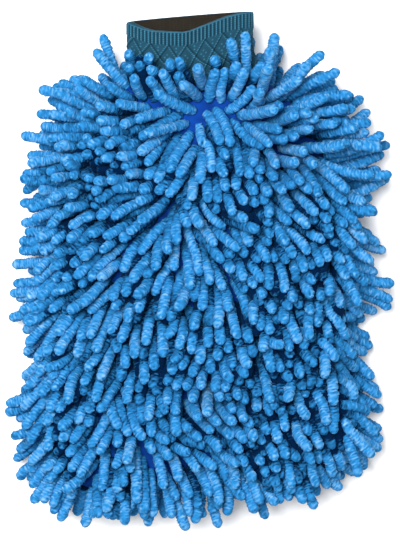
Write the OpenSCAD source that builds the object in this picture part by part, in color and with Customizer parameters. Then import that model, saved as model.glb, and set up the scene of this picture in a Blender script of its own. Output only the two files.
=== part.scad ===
// A reversible wash mitt: a sewn bag covered on both faces with chenille noodles,
// with a lining inside and a knitted wrist cuff at its mouth. It lies on its back face,
// the hand goes in along -Y, and +Z points out of the front face.

/* [Bag] */
// Sewn width of the bag at its widest, near the tip
bag_w = 160; // [120:1:190]
// Sewn width of the bag just below its shoulders
shoulder_w = 147; // [115:1:180]
// Sewn length of the bag, from its mouth to its tip
bag_l = 218; // [175:1:260]
// Height that the bag stands open, outside, at its crown
bag_h = 24; // [19:0.5:32]
// Length of the sloping shoulders, along the bag
shoulder_l = 62; // [45:1:75]
// Length over which the tip closes, along the bag
tip_round = 40; // [30:1:50]
// Radius of the two tip corners, seen from above
tip_corner_r = 26; // [18:1:32]
// Distance from the mouth to the fold across the knuckles
fold_from_mouth = 84; // [78:1:100]

/* [Cloth] */
// Thickness of the chenille's ground cloth
cloth_t = 2; // [1.4:0.1:2.6]
// Thickness of the lining
lining_t = 0.8; // [0.6:0.1:1.2]
// Air between two layers of cloth
layer_gap = 0.3; // [0.2:0.05:0.5]
// Width of the seam allowance inside the edge seam
seam_w = 2.4; // [1.8:0.1:3]
// Thickness of the seam allowance
seam_t = 1.6; // [1.2:0.1:1.8]

/* [Chenille] */
// Thickness of one noodle
noodle_d = 5.2; // [4:0.1:5.8]
// Length of one noodle outside the cloth
noodle_l = 30; // [24:0.5:36]
// Least space between the noodles of two rows
row_space = 0.2; // [0.1:0.05:2]
// Least space between two noodles in a row
noodle_space = 1.4; // [0.8:0.1:3]
// Lean of the front noodles away from the fold, at the crown
front_lean = 50; // [30:1:55]
// Lean of the noodles underneath away from the fold, at the crown
under_lean = 58; // [45:1:60]
// Lean of the noodles away from the fold, at the side seams
side_lean = 12; // [0:1:30]

/* [Cuff] */
// Width of the cuff, lying relaxed
cuff_w = 69; // [55:1:82]
// Height of the cuff where it is sewn in
cuff_neck_h = 15; // [13:0.5:18]
// Height of the cuff at its rim
cuff_rim_h = 20; // [16:0.5:24]
// Length of the cuff outside the bag
cuff_l = 38; // [25:1:60]
// Length of the cuff inside the bag's mouth
cuff_inset = 3; // [2:0.25:5]
// Thickness of the knit
knit_t = 1.3; // [1:0.1:1.6]
// Depth of the ribbed welt at the rim, which is knit folded over the elastic
welt_l = 8; // [6:0.5:14]
// Thickness of the elastic in the welt
elastic_t = 0.7; // [0.5:0.1:1]
// How far the front of the rim sits back from its rear
rim_slant = 7.5; // [0:0.5:10]
// Width of the overlocked seams
overlock_w = 2; // [1.6:0.1:3]
// Thickness of the overlocked seams
overlock_t = 1.2; // [0.8:0.1:1.5]

/* [Motion] */
// Furthest that the bag bends each way at the fold, in degrees
bend_limit = 40; // [20:1:45]
// Furthest that the cuff folds each way at the mouth, in degrees
cuff_limit = 30; // [15:1:40]
// Clearance between parts that move on each other
swing_gap = 0.4; // [0.3:0.05:0.6]

/* [Hidden] */
SECTION_POWER = 2.3;   // fullness of the bag's cross-section: 2 is an ellipse
SHOULDER_POWER = 1.6;  // fullness of the shoulders, seen from above
ACROSS = 24;           // facets across one face of the bag
ALONG = 13;            // facets along each half of the bag
ROUND_CUFF = 48;       // facets around the cuff
CUFF_STEPS = 4;        // facets along the cuff
SAMPLES = 60;          // steps in a measured curve
BLEND_L = 24;          // length over which the slanted fold edge becomes straight
foot_d = 1.8;          // where a noodle's foot passes through the cloth
foot_depth = 1.2;      // how far the foot is rooted in the cloth
foot_taper = 5;        // length over which a noodle swells to its full thickness

noodle_r = noodle_d / 2;
noodle_pitch = noodle_d + noodle_space;
edge_rise = 0.85 * noodle_r;    // least height of a root above the side seam
row_pitch = (noodle_d + row_space) / cos(under_lean);
core_l = noodle_l - noodle_r;   // from a noodle's root to the centre of its round end
pile_under = core_l * cos(under_lean) + noodle_r;
mid_z = bag_h / 2 + pile_under;
tip_y = -bag_l;                 // the bag is drawn with its mouth at y = 0
fold_y = -fold_from_mouth;
neck_y = -cuff_inset;
shoulder_y = neck_y - shoulder_l;
cuff_swing_r = norm([cuff_inset + overlock_w, cuff_neck_h / 2]);
// Half the width that the cuff's inner end needs in the mouth when it is folded to its limit.
swing_hw = max([for (phi = [0 : 5 : 85])
    let (up = cuff_neck_h / 2 * sin(phi) * cos(cuff_limit) + (cuff_inset + overlock_w) * sin(cuff_limit))
    cuff_w / 2 * cos(phi) / super(up / (cuff_swing_r + swing_gap), SECTION_POWER)]);
mouth_hh = cuff_swing_r + swing_gap + cloth_t;
mouth_hw = swing_hw + swing_gap + cloth_t;
first_row = noodle_r + swing_gap + bag_h / 2 * tan(bend_limit / 2) + 1;
lining_in = cloth_t + layer_gap + seam_w + layer_gap;
lining_down = cloth_t + layer_gap;

// ---- the bag's shape -------------------------------------------------------------------

function mix(a, b, t) = a + (b - a) * t;
function clamp01(t) = min(1, max(0, t));
function smooth(t) = t * t * (3 - 2 * t);
function super(t, power) = pow(max(0, 1 - pow(t, power)), 1 / power);
function body_hw(y) =
    mix(bag_w / 2, shoulder_w / 2, clamp01((y - tip_y - tip_corner_r) / (shoulder_y - tip_y - tip_corner_r)));

// Half width of the bag at y. inset moves the whole outline in.
function half_width(y, inset = 0) =
    let (corner_y = tip_y + tip_corner_r, r = tip_corner_r - inset)
    y < corner_y ? body_hw(corner_y) - tip_corner_r + sqrt(max(0, r * r - pow(corner_y - y, 2))) :
    y < shoulder_y ? body_hw(y) - inset :
    mouth_hw - inset + (shoulder_w / 2 - mouth_hw)
        * super(clamp01((y - shoulder_y) / (shoulder_l - inset)), SHOULDER_POWER);

// Half height of the bag at y. drop takes that much off the crown.
function half_height(y, inset = 0, drop = 0) =
    let (close_y = tip_y + tip_round,
         crown = mix(bag_h / 2, mouth_hh, smooth(clamp01((y - shoulder_y) / shoulder_l))) - drop)
    y < close_y ? crown * sqrt(max(0, 1 - pow((close_y - y) / (tip_round - inset), 2))) : crown;

// The point of the front face at y, and at angle a round the cross-section: 0 right, 90 crown.
function face_point(y, a, inset = 0, drop = 0) =
    [sign(cos(a)) * half_width(y, inset) * pow(abs(cos(a)), 2 / SECTION_POWER),
     y,
     half_height(y, inset, drop) * pow(abs(sin(a)), 2 / SECTION_POWER)];

function unit(v) = v / norm(v);

// The outward normal of the front face at y and a.
function face_normal(y, a) =
    let (da = 0.5, dy = 0.05,
         across = face_point(y, a + da) - face_point(y, a - da),
         along = face_point(y + dy, a) - face_point(y - dy, a))
    unit(cross(along, across));

// ---- panels of cloth -------------------------------------------------------------------

// Stations from the fold to one end of the bag, closer together at the end.
function stations(to_y, steps = ALONG) = [for (j = [0 : steps]) mix(fold_y, to_y, sin(90 * j / steps))];

// One surface of a panel. Next to the fold its edge slants back, so that two halves can bend.
function face_grid(ys, inset, drop) =
    let (way = sign(ys[1] - ys[0]))
    [for (y = ys)
        let (ease = clamp01(1 - abs(y - fold_y) / BLEND_L))
        [for (i = [0 : ACROSS])
            let (a = 180 * i / ACROSS,
                 z = half_height(y, inset, drop) * pow(sin(a), 2 / SECTION_POWER),
                 back = (layer_gap / 2 + z * tan(bend_limit / 2)) * ease)
            face_point(y + way * back, a, inset, drop)]];

function flat(rows) = [for (r = rows) each r];

// A closed slab between two grids of points of the same size.
module slab(outer, inner) {
    nr = len(outer);
    nc = len(outer[0]);
    m = nr * nc;
    function at(r, c, side) = side * m + r * nc + c;
    function quad(p, q, r, s) = [[p, q, r], [p, r, s]];
    faces = [
        for (r = [0 : nr - 2], c = [0 : nc - 2])
            each quad(at(r, c, 0), at(r, c + 1, 0), at(r + 1, c + 1, 0), at(r + 1, c, 0)),
        for (r = [0 : nr - 2], c = [0 : nc - 2])
            each quad(at(r, c, 1), at(r + 1, c, 1), at(r + 1, c + 1, 1), at(r, c + 1, 1)),
        for (c = [0 : nc - 2])
            each quad(at(0, c, 0), at(0, c, 1), at(0, c + 1, 1), at(0, c + 1, 0)),
        for (c = [0 : nc - 2])
            each quad(at(nr - 1, c, 0), at(nr - 1, c + 1, 0), at(nr - 1, c + 1, 1), at(nr - 1, c, 1)),
        for (r = [0 : nr - 2])
            each quad(at(r, 0, 0), at(r + 1, 0, 0), at(r + 1, 0, 1), at(r, 0, 1)),
        for (r = [0 : nr - 2])
            each quad(at(r, nc - 1, 0), at(r, nc - 1, 1), at(r + 1, nc - 1, 1), at(r + 1, nc - 1, 0))
    ];
    polyhedron(points = concat(flat(outer), flat(inner)), faces = faces, convexity = 6);
}

// Puts a piece made as the front face in its place: side 1 is the front, -1 the back.
module on_side(side) {
    placed() translate([0, 0, mid_z]) mirror([0, 0, side < 0 ? 1 : 0]) children();
}

module cloth_fingers(side) {
    color("royalblue") on_side(side)
        slab(face_grid(stations(tip_y), 0, 0), face_grid(stations(tip_y + cloth_t), cloth_t, cloth_t));
}

module cloth_palm(side) {
    color("royalblue") on_side(side)
        slab(face_grid(concat(stations(neck_y), [0]), 0, 0),
             face_grid(concat(stations(neck_y - cloth_t), [0]), cloth_t, cloth_t));
}

module lining_fingers(side) {
    inner_in = lining_in + lining_t;
    color("steelblue") on_side(side)
        slab(face_grid(stations(tip_y + lining_in), lining_in, lining_down),
             face_grid(stations(tip_y + inner_in), inner_in, lining_down + lining_t));
}

module lining_palm(side) {
    inner_in = lining_in + lining_t;
    end_y = neck_y - inner_in;
    color("steelblue") on_side(side)
        slab(face_grid(stations(end_y), lining_in, lining_down),
             face_grid(stations(end_y), inner_in, lining_down + lining_t));
}

// ---- edge seam -------------------------------------------------------------------------

// One side of the seam allowance's outline, from the fold to an end.
function seam_line(to_y, inset) = [for (y = stations(to_y, 2 * ALONG)) [half_width(y, inset), y]];

// The same, kept clear of the cloth where the bag is too low for the allowance's whole thickness.
function clear_line(to_y, inset) =
    [for (y = stations(to_y, 2 * ALONG))
        let (low = (seam_t / 2 + layer_gap) / max(0.01, half_height(y, inset, inset)))
        [half_width(y, inset) * super(min(1, low), SECTION_POWER), y]];

// Where the bag's tip is only as high inside as the allowance is thick.
function low_tip_y(inset) =
    tip_y + tip_round - (tip_round - inset) * sqrt(1 - pow((seam_t / 2 + layer_gap) / (bag_h / 2 - inset), 2));

module edge_strip(to_y, closes) {
    out_in = cloth_t + layer_gap;
    in_in = out_in + seam_w;
    way = sign(to_y - fold_y);
    outer = clear_line(closes ? low_tip_y(out_in) : to_y - way * out_in, out_in);
    inner = seam_line(to_y - way * in_in, in_in);
    fold_gap = layer_gap / 2 + seam_t / 2 * tan(bend_limit / 2);
    half = concat(outer, closes ? [[0, to_y - way * in_in]] : [],
                  [for (i = [len(inner) - 1 : -1 : 0]) inner[i]]);
    color("navy") placed() translate([0, 0, mid_z - seam_t / 2]) difference() {
        linear_extrude(seam_t) {
            polygon(half);
            mirror([1, 0]) polygon(half);
        }
        translate([-bag_w, fold_y - fold_gap, -1]) cube([2 * bag_w, 2 * fold_gap, seam_t + 2]);
    }
}

module edge_seam_fingers() { edge_strip(tip_y, true); }
module edge_seam_palm() { edge_strip(neck_y - overlock_w, false); }

// ---- noodles ---------------------------------------------------------------------------

// Running length along a list of points.
function run(pts, i = 0, sum = 0, out = []) =
    i >= len(pts) ? out :
    let (s = i == 0 ? 0 : sum + norm(pts[i] - pts[i - 1]))
    run(pts, i + 1, s, concat(out, [s]));

// Distance along the crown from the fold, against y, towards one end.
function crown_table(to_y) =
    let (ys = [for (j = [0 : SAMPLES]) mix(fold_y, to_y, sin(90 * j / SAMPLES))],
         s = run([for (y = ys) [y, half_height(y)]]))
    [for (j = [0 : SAMPLES]) [s[j], ys[j]]];

// Distance from the crown across the face at y, against the angle, down to the side seam.
function across_table(y) =
    let (as = [for (j = [0 : SAMPLES]) 90 * (1 - j / SAMPLES)],
         s = run([for (a = as) face_point(y, a)]))
    [for (j = [0 : SAMPLES]) [s[j], as[j]]];

// How far the roots reach from the crown across the face, given the table at y.
function across_reach(y, table) =
    lookup(asin(pow(min(1, edge_rise / half_height(y)), SECTION_POWER / 2)), [for (t = table) [t[1], t[0]]]);

PALM_TABLE = crown_table(0);
FINGERS_TABLE = crown_table(tip_y);
PALM_RUN = PALM_TABLE[SAMPLES][0] - noodle_r - cloth_t - first_row;
FINGERS_RUN = FINGERS_TABLE[SAMPLES][0] - noodle_r - 1 - first_row;
palm_rows = 1 + floor(PALM_RUN / row_pitch);
fingers_rows = 1 + floor(FINGERS_RUN / row_pitch);

// Where row k of a half crosses the crown, with the rows spread evenly over the half.
function row_y(half, k) =
    half == "palm" ? lookup(first_row + (k - 1) * PALM_RUN / (palm_rows - 1), PALM_TABLE) :
    lookup(first_row + (k - 1) * FINGERS_RUN / (fingers_rows - 1), FINGERS_TABLE);

// The share of straight down at which a noodle rooted at that height ends on the floor.
function floor_share(height) = (height - noodle_r) / core_l;

// The lean that brings a noodle's end down to the floor, and no less than side_lean.
function lean_down(height, down) =
    max(side_lean, down < 0.05 ? 0 : acos(min(1, floor_share(height) / down)));

// v as a unit vector whose Z share is at most that much.
function kept_above(v, most) =
    let (u = unit(v), z = min(u[2], most), h = unit([u[0], u[1]]) * sqrt(1 - z * z))
    [h[0], h[1], z];

// Root and direction of the noodle at y and a, leaning the given way along Y.
function noodle_line(side, way, y, a) =
    let (p = face_point(y, a), n = face_normal(y, a),
         lean = side > 0 ? mix(side_lean, front_lean, sin(a)) : lean_down(mid_z - p[2], n[2]),
         v = n * cos(lean) + [0, way * sin(lean), 0])
    [p, side > 0 ? unit(v) : kept_above(v, floor_share(mid_z - p[2]))];

// One noodle along +Z, rooted just under the origin.
module noodle() {
    rotate_extrude($fn = 24) polygon(concat(
        [[0, -foot_depth], [foot_d / 2, -foot_depth], [foot_d / 2, 0], [noodle_r, foot_taper]],
        [for (a = [0, 30, 60]) [noodle_r * cos(a), core_l + noodle_r * sin(a)]],
        [[noodle_r / 4, noodle_l], [0, noodle_l]]));
}

module aimed(p, d) {
    translate(p) rotate([0, acos(d[2]), atan2(d[1], d[0])]) noodle();
}

// Row k of a half. Odd rows stand between the noodles of even rows.
module noodle_row(side, half, k) {
    y = row_y(half, k);
    way = half == "palm" ? 1 : -1;
    table = across_table(y);
    reach = across_reach(y, table);
    offset = (k % 2) / 2;
    count = floor(reach / noodle_pitch - offset);
    step = reach / (count + offset);
    color(side > 0 ? "dodgerblue" : "deepskyblue") placed()
        for (flip = [-1, 1], i = [0 : count]) if (i + offset > 0 || flip > 0) {
            line = noodle_line(side, way, y, lookup((i + offset) * step, table));
            p = line[0];
            d = line[1];
            aimed([flip * p[0], p[1], mid_z + side * p[2]], [flip * d[0], d[1], side * d[2]]);
        }
}

// How far past the tip the last rows reach, and the shift that centres the mitt along Y.
function tip_reach(side) =
    let (line = noodle_line(side, -1, row_y("fingers", fingers_rows), 90))
    line[0][1] + line[1][1] * core_l - noodle_r;
far_y = min(tip_reach(1), tip_reach(-1));
module placed() { translate([0, -(cuff_l + far_y) / 2, 0]) children(); }

// ---- cuff ------------------------------------------------------------------------------

// A closed profile of [y, depth under the outer skin] points, carried round the cuff's oval.
module cuff_sweep(profile) {
    n = len(profile);
    function spot(p, phi) =
        let (t = clamp01((p[0] - neck_y) / (cuff_l - neck_y)),
             hh = mix(cuff_neck_h, cuff_rim_h, smooth(t)) / 2)
        [(cuff_w / 2 - p[1]) * cos(phi), p[0] - rim_slant / 2 * sin(phi) * t * t,
         mid_z + (hh - p[1]) * sin(phi)];
    points = [for (k = [0 : ROUND_CUFF - 1]) for (p = profile) spot(p, 360 * k / ROUND_CUFF)];
    faces = [for (k = [0 : ROUND_CUFF - 1], i = [0 : n - 1])
        let (k2 = (k + 1) % ROUND_CUFF, i2 = (i + 1) % n)
        each [[k * n + i, k2 * n + i, k2 * n + i2], [k * n + i, k2 * n + i2, k * n + i2]]];
    placed() polyhedron(points = points, faces = faces, convexity = 8);
}

hem_in = knit_t + layer_gap / 2 + elastic_t + layer_gap / 2;
full_rim_y = cuff_l - rim_slant / 2;

// The knit runs from the bag's mouth to the rim, then folds in and back down over the elastic.
module cuff_knit() {
    tube_ys = [for (j = [0 : CUFF_STEPS]) mix(neck_y, full_rim_y - welt_l, j / CUFF_STEPS)];
    color("teal") cuff_sweep(concat(
        [for (y = tube_ys) [y, 0]],
        [[full_rim_y - 1, 0], [full_rim_y, 0.8], [full_rim_y, hem_in + knit_t - 0.6],
         [full_rim_y - 1, hem_in + knit_t], [full_rim_y - welt_l, hem_in + knit_t],
         [full_rim_y - welt_l, hem_in], [full_rim_y - knit_t, hem_in], [full_rim_y - knit_t, knit_t]],
        [for (j = [CUFF_STEPS : -1 : 0]) [tube_ys[j], knit_t]]));
}

module cuff_elastic() {
    out = knit_t + layer_gap / 2;
    top = full_rim_y - knit_t - layer_gap;
    bottom = full_rim_y - welt_l + layer_gap;
    color("whitesmoke") cuff_sweep([[bottom, out], [top, out], [top, out + elastic_t], [bottom, out + elastic_t]]);
}

// The overlocked edge that joins the cuff to the bag, turned to the inside of the mouth.
module cuff_join_seam() {
    top = neck_y;
    bottom = neck_y - overlock_w;
    color("midnightblue") cuff_sweep([[bottom, 0], [top, 0], [top, overlock_t], [bottom, overlock_t]]);
}

// The seam that closes the knit into a tube, inside it on the right.
module cuff_side_seam() {
    inner_hh = cuff_neck_h / 2 - knit_t;
    x = (cuff_w / 2 - knit_t) * sqrt(1 - pow(overlock_w / 2 / inner_hh, 2)) - layer_gap / 2;
    color("darkslategray") placed() translate([x - overlock_t, neck_y + 1, mid_z - overlock_w / 2])
        cube([overlock_t, full_rim_y - welt_l - neck_y - 2, overlock_w]);
}

// ---- the assembly ----------------------------------------------------------------------

function row_name(side, half, k) = str(side > 0 ? "front" : "back", "_noodle_row_", half, "_", k);

cloth_palm(1);  // front_cloth_palm
cloth_palm(-1);  // back_cloth_palm
cloth_fingers(1);  // front_cloth_fingers
cloth_fingers(-1);  // back_cloth_fingers
lining_palm(1);  // front_lining_palm
lining_palm(-1);  // back_lining_palm
lining_fingers(1);  // front_lining_fingers
lining_fingers(-1);  // back_lining_fingers
edge_seam_palm();
edge_seam_fingers();
cuff_knit();
cuff_elastic();
cuff_join_seam();
cuff_side_seam();
for (side = [1, -1], k = [1 : palm_rows])
    noodle_row(side, "palm", k);
for (side = [1, -1], k = [1 : fingers_rows])
    noodle_row(side, "fingers", k);
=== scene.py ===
"""The looks of a chenille wash mitt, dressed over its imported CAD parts.

The mitt lies on its back face. X runs across the hand, +Y towards the cuff's rim and +Z up out of the
front face. Every length is in metres.
"""

import logging
import math
from dataclasses import dataclass, field
from enum import Enum
from typing import Optional, Union

import bpy
import numpy as np
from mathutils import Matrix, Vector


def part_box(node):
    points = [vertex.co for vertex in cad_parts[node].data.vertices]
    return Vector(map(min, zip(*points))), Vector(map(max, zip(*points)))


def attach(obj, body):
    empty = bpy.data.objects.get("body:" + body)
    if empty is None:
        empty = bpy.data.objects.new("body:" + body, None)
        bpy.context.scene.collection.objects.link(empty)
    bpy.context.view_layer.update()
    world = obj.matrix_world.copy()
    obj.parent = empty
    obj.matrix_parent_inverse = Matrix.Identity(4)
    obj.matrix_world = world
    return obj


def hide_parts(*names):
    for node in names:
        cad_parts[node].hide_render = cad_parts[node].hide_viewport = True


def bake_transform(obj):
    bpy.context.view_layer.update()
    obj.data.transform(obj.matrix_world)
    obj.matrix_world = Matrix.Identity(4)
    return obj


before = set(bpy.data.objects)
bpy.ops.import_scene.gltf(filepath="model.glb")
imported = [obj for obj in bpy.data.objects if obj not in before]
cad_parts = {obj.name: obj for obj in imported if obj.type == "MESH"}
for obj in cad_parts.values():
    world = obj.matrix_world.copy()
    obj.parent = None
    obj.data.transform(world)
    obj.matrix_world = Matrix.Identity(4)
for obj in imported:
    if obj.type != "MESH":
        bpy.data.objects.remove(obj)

log = logging.getLogger("wash_mitt")
MM = 0.001
Values = Union[float, np.ndarray]


# ---- small helpers -----------------------------------------------------------------------


def linear(hex_colour: str) -> tuple[float, float, float, float]:
    """Turns an sRGB hex colour such as "2f7fc8" into linear RGBA."""
    channels = [int(hex_colour[i : i + 2], 16) / 255 for i in (0, 2, 4)]
    return tuple([c / 12.92 if c <= 0.04045 else ((c + 0.055) / 1.055) ** 2.4 for c in channels] + [1.0])


def mix(a: Values, b: Values, t: Values) -> Values:
    """The value t of the way from a to b."""
    return a + (b - a) * t


def smooth(t: np.ndarray) -> np.ndarray:
    """Eases t, held between 0 and 1, in and out."""
    t = np.clip(t, 0, 1)
    return t * t * (3 - 2 * t)


def unit(v: np.ndarray) -> np.ndarray:
    """Scales each vector in the last axis to length 1."""
    return v / np.maximum(np.linalg.norm(v, axis=-1, keepdims=True), 1e-12)


def distance_along(points: np.ndarray) -> np.ndarray:
    """The distance from the first of a run of points to each of them, along the run."""
    return np.concatenate([[0], np.cumsum(np.linalg.norm(np.diff(points, axis=0), axis=1))])


def grid_faces(rows: int, columns: int, closed: bool, start: int = 0) -> np.ndarray:
    """Quads between neighbouring rings of points.

    Args:
        rows: the number of rings.
        columns: the number of points in each ring.
        closed: True if each ring runs back to its first point.
        start: the index of the first point.

    Returns:
        An array of four point indices for each quad.
    """
    r = np.arange(rows - 1)[:, None]
    c = np.arange(columns if closed else columns - 1)[None, :]
    d = (c + 1) % columns
    quads = [r * columns + c, r * columns + d, (r + 1) * columns + d, (r + 1) * columns + c]
    return np.stack([q + 0 * r for q in quads], axis=-1).reshape(-1, 4) + start


def make_mesh(
    name: str, points: np.ndarray, faces: list[np.ndarray], tint: Optional[np.ndarray] = None
) -> bpy.types.Object:
    """Makes a smooth-shaded object from points and arrays of faces.

    Args:
        name: the piece's name.
        points: the points, one row each.
        faces: arrays of point indices, each with faces of one size.
        tint: a value for each point, which the materials read as the attribute "tint".

    Returns:
        The new object, linked to the scene.
    """
    mesh = bpy.data.meshes.new(name)
    loops = np.concatenate([f.reshape(-1) for f in faces]).astype(np.int32)
    sizes = np.concatenate([np.full(len(f), f.shape[1]) for f in faces])
    starts = np.concatenate([[0], np.cumsum(sizes)[:-1]])
    mesh.vertices.add(len(points))
    mesh.vertices.foreach_set("co", points.astype(np.float32).reshape(-1))
    mesh.loops.add(len(loops))
    mesh.loops.foreach_set("vertex_index", loops)
    mesh.polygons.add(len(sizes))
    mesh.polygons.foreach_set("loop_start", starts.astype(np.int32))
    mesh.update(calc_edges=True)
    mesh.validate()
    mesh.shade_smooth()
    if tint is not None:
        mesh.attributes.new("tint", "FLOAT", "POINT").data.foreach_set("value", tint.astype(np.float32))
    made = bpy.data.objects.new(name, mesh)
    bpy.context.scene.collection.objects.link(made)
    return made


def make_bar(name: str, lines: list[np.ndarray], tint: np.ndarray) -> bpy.types.Object:
    """Makes a bar with closed ends.

    Args:
        name: the piece's name.
        lines: the lines of points that run along the bar's corners, in order round it.
        tint: a value for each place along the bar.

    Returns:
        The bar's object.
    """
    points = np.stack(lines, axis=1)
    count, corners = points.shape[:2]
    end = np.arange(corners)
    lids = np.array([end, (count - 1) * corners + end[::-1]])
    faces = [grid_faces(count, corners, True), lids]
    return make_mesh(name, points.reshape(-1, 3), faces, np.repeat(tint, corners))


def add_node(
    tree: bpy.types.NodeTree, kind: str, settings: Optional[dict] = None, inputs: Optional[dict] = None
) -> bpy.types.Node:
    """Adds one node to a material.

    Args:
        tree: the material's node tree.
        kind: the node's type name.
        settings: property names and their values.
        inputs: input names or numbers, with the value or the output socket that goes there.

    Returns:
        The new node.
    """
    node = tree.nodes.new(kind)
    for key, value in (settings or {}).items():
        setattr(node, key, value)
    for key, value in (inputs or {}).items():
        if isinstance(value, bpy.types.NodeSocket):
            tree.links.new(value, node.inputs[key])
        else:
            node.inputs[key].default_value = value
    return node


# ---- finishes ----------------------------------------------------------------------------


@dataclass(frozen=True)
class YarnFinish:
    """A textile surface: its yarn's colours, the size of its fibres and how they catch the light."""

    name: str
    # hollow and crest are painted shade and painted highlight on pieces whose tint follows their relief or
    # their depth in the pile.
    hollow: str  # in the grooves, where the tint is 0
    body: str  # where the tint is a half
    crest: str  # on the raised places, where the tint is 1
    fibre: float  # size of the finest tufts or fibres
    relief: float  # depth of the bump they make
    mottle: float = 0.16  # how much the colour wanders, from 0 to 1
    patch: float = 6 * MM  # size of the places where it wanders
    roughness: float = 0.85
    sheen: float = 0.3
    sheen_roughness: float = 0.5
    sheen_colour: str = "ffffff"
    specular: float = 0.25

    def material(self) -> bpy.types.Material:
        """Builds the finish as a material, or returns it if it is already built."""
        known = bpy.data.materials.get(self.name)
        if known:
            return known
        made = bpy.data.materials.new(self.name)
        made.use_nodes = True
        tree = made.node_tree
        tree.nodes.clear()
        place = add_node(tree, "ShaderNodeTexCoord").outputs["Object"]
        tint = add_node(tree, "ShaderNodeAttribute", {"attribute_name": "tint"}).outputs["Fac"]
        grain = add_node(
            tree,
            "ShaderNodeTexNoise",
            inputs={"Vector": place, "Scale": 1 / self.patch, "Detail": 3.0, "Roughness": 0.6},
        ).outputs["Fac"]
        wander = add_node(
            tree,
            "ShaderNodeMath",
            {"operation": "MULTIPLY_ADD"},
            {0: grain, 1: 2 * self.mottle, 2: -self.mottle},
        ).outputs[0]
        tone = add_node(tree, "ShaderNodeMath", {"operation": "ADD", "use_clamp": True}, {0: tint, 1: wander})
        ramp = add_node(tree, "ShaderNodeValToRGB", inputs={"Fac": tone.outputs[0]})
        ramp.color_ramp.elements[0].color = linear(self.hollow)
        ramp.color_ramp.elements[1].color = linear(self.crest)
        ramp.color_ramp.elements.new(0.5).color = linear(self.body)
        tufts = add_node(
            tree,
            "ShaderNodeTexNoise",
            inputs={"Vector": place, "Scale": 1 / self.fibre, "Detail": 4.0, "Roughness": 0.65},
        ).outputs["Fac"]
        bump = add_node(
            tree, "ShaderNodeBump", inputs={"Strength": 1.0, "Distance": self.relief, "Height": tufts}
        ).outputs["Normal"]
        shader = add_node(
            tree,
            "ShaderNodeBsdfPrincipled",
            inputs={
                "Base Color": ramp.outputs["Color"],
                "Normal": bump,
                "Roughness": self.roughness,
                "IOR": 1.5,
                "Specular IOR Level": self.specular,
                "Sheen Weight": self.sheen,
                "Sheen Roughness": self.sheen_roughness,
                "Sheen Tint": linear(self.sheen_colour),
            },
        )
        add_node(tree, "ShaderNodeOutputMaterial", inputs={"Surface": shader.outputs[0]})
        return made


# Split microfibre chenille: a polyester pile cut short round a core yarn. The split fibres are finer
# than can be seen, so the eye gets a deep soft blue with small tufts, pale where they catch the light.
CHENILLE = YarnFinish(
    name="microfibre_chenille", hollow="001634", body="2676b0", crest="84aecb", fibre=1.0 * MM,
    relief=0.65 * MM, mottle=0.14, patch=1.8 * MM, roughness=0.9, sheen=0.04, sheen_roughness=0.4,
    sheen_colour="6fb8f5", specular=0.03,
)  # fmt: skip
# Warp-knitted polyester ground, dyed a deeper blue: flat and close, with loops about 1.2 mm apart.
GROUND_CLOTH = YarnFinish(
    name="warp_knitted_polyester_ground", hollow="00122e", body="012f78", crest="034394", fibre=1.2 * MM,
    relief=0.3 * MM, roughness=0.9, sheen=0.05, sheen_colour="3f8fe0", specular=0.1,
)  # fmt: skip
# Polyester tricot lining: thin, smooth and dull, with loops too fine to tell apart at 0.6 mm.
LINING_TRICOT = YarnFinish(
    name="polyester_tricot_lining", hollow="0a1c33", body="143457", crest="1f4a78", fibre=0.6 * MM,
    relief=0.12 * MM, sheen=0.15,
)  # fmt: skip
# Rib-knitted acrylic cuff: matt yarn about 0.9 mm thick, whose raised stitches are painted paler, a painted
# highlight.
CUFF_KNIT = YarnFinish(
    name="rib_knitted_acrylic", hollow="011a27", body="163b4c", crest="417f99", fibre=0.5 * MM,
    relief=0.14 * MM, mottle=0.08, patch=3 * MM, roughness=0.9, sheen=0.08, sheen_colour="8fc4d8",
    specular=0.1,
)  # fmt: skip
# The knit's wrong side, which is turned away from the light: the same yarn, painted darker and browner as shade
# inside the cuff.
CUFF_KNIT_INSIDE_PAINTED_SHADE = YarnFinish(
    name="rib_knitted_acrylic_wrong_side", hollow="0d0a07", body="211d17", crest="3a3f3c", fibre=0.7 * MM,
    relief=0.16 * MM, mottle=0.15, patch=4 * MM, roughness=0.95, sheen=0.1, specular=0.1,
)  # fmt: skip
# Textured polyester overlock thread: fine, slightly shiny, laid in close loops over the edge.
OVERLOCK_THREAD = YarnFinish(
    name="polyester_overlock_thread", hollow="07152c", body="12315c", crest="2b5c93", fibre=0.3 * MM,
    relief=0.06 * MM, roughness=0.6, sheen=0.2, specular=0.35,
)  # fmt: skip
# Woven elastic: covered rubber threads side by side, off-white and ribbed along its length.
WOVEN_ELASTIC = YarnFinish(
    name="woven_elastic", hollow="a9a79e", body="d8d6cc", crest="f0eee6", fibre=0.5 * MM, relief=0.1 * MM,
    mottle=0.05, roughness=0.7, sheen=0.1,
)  # fmt: skip


def dress(piece: bpy.types.Object, finish: YarnFinish, slot: str, *nodes: str) -> None:
    """Gives a piece its finish, and hides the CAD nodes that it stands for.

    Args:
        piece: the piece.
        finish: its surface.
        slot: not used.
        nodes: the CAD nodes that it replaces.
    """
    piece.data.materials.append(finish.material())
    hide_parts(*nodes)
    log.info("%s: %d faces", piece.name, len(piece.data.polygons))


# ---- the bag's shape ---------------------------------------------------------------------


class Side(Enum):
    """The two faces of the mitt. The value is the way its pile points along Z."""

    FRONT = 1
    BACK = -1


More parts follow.
